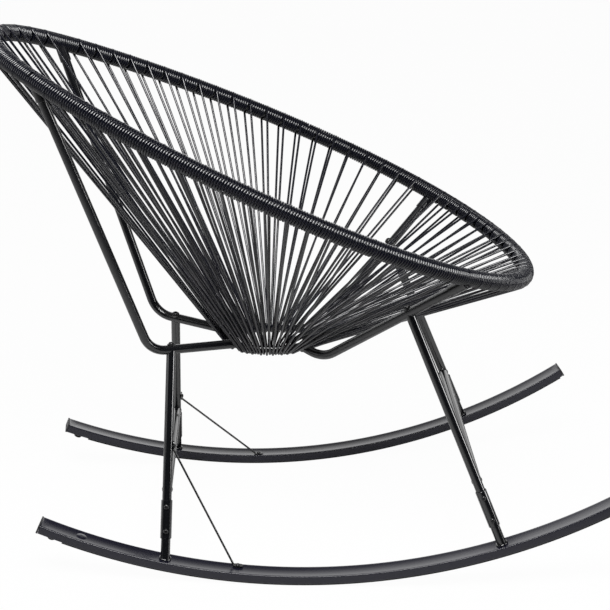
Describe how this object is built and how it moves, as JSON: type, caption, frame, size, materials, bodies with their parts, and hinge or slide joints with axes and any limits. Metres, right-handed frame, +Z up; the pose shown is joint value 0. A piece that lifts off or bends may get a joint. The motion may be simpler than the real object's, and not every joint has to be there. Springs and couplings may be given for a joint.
{
  "type": "string rocking chair",
  "caption": "Low rocking lounge chair: an egg-shaped hoop strung to a small seat ring with plastic string, on bent spokes, tube legs and curved rocker tubes.",
  "frame": {"origin": "middle of the bounding box in plan, on the floor that the two rockers stand on", "axes": "+X towards the front of the chair, +Y towards the sitter's left, +Z up"},
  "size_m": [1.051, 0.6756, 0.9003],
  "materials": {
    "frame_paint": "gloss black paint on steel tube and rod",
    "rocker_paint": "satin black paint on steel tube",
    "seat_string": "black extruded plastic string with a soft sheen",
    "end_cap": "black moulded plastic",
    "floor_rubber": "black rubber",
    "black_bolt": "black coated steel",
    "steel_screw": "plated steel"
  },
  "bodies": {
    "root": {"rim_tube": "frame_paint", "seat_ring": "frame_paint", "stretcher_front": "frame_paint", "rim_socket_front_left": "frame_paint", "spoke_front_left": "frame_paint", "leg_front_left": "frame_paint", "leg_sleeve_front_left": "frame_paint", "leg_bolt_front_left": "black_bolt", "sleeve_bolt_lower_front_left": "black_bolt", "sleeve_bolt_upper_front_left": "black_bolt", "rocker_cap_front_left": "end_cap", "rim_socket_front_right": "frame_paint", "spoke_front_right": "frame_paint", "leg_front_right": "frame_paint", "leg_sleeve_front_right": "frame_paint", "leg_bolt_front_right": "black_bolt", "sleeve_bolt_lower_front_right": "black_bolt", "sleeve_bolt_upper_front_right": "black_bolt", "rocker_cap_front_right": "end_cap", "stretcher_rear": "frame_paint", "rim_socket_rear_left": "frame_paint", "spoke_rear_left": "frame_paint", "leg_rear_left": "frame_paint", "leg_sleeve_rear_left": "frame_paint", "leg_bolt_rear_left": "black_bolt", "sleeve_bolt_lower_rear_left": "black_bolt", "sleeve_bolt_upper_rear_left": "black_bolt", "rocker_cap_rear_left": "end_cap", "rim_socket_rear_right": "frame_paint", "spoke_rear_right": "frame_paint", "leg_rear_right": "frame_paint", "leg_sleeve_rear_right": "frame_paint", "leg_bolt_rear_right": "black_bolt", "sleeve_bolt_lower_rear_right": "black_bolt", "sleeve_bolt_upper_rear_right": "black_bolt", "rocker_cap_rear_right": "end_cap", "brace_left": "frame_paint", "brace_screw_lower_left": "steel_screw", "brace_screw_upper_left": "steel_screw", "rocker_left": "rocker_paint", "floor_strip_left": "floor_rubber", "rear_bumper_left": "floor_rubber", "brace_right": "frame_paint", "brace_screw_lower_right": "steel_screw", "brace_screw_upper_right": "steel_screw", "rocker_right": "rocker_paint", "floor_strip_right": "floor_rubber", "rear_bumper_right": "floor_rubber", "seat_strings_front_1": "seat_string", "seat_strings_front_2": "seat_string", "seat_strings_front_3": "seat_string", "seat_strings_front_4": "seat_string", "seat_strings_left_1": "seat_string", "seat_strings_left_2": "seat_string", "seat_strings_left_3": "seat_string", "seat_strings_rear_1": "seat_string", "seat_strings_rear_2": "seat_string", "seat_strings_right_1": "seat_string", "seat_strings_right_2": "seat_string", "seat_strings_right_3": "seat_string"}
  },
  "joints": []
}
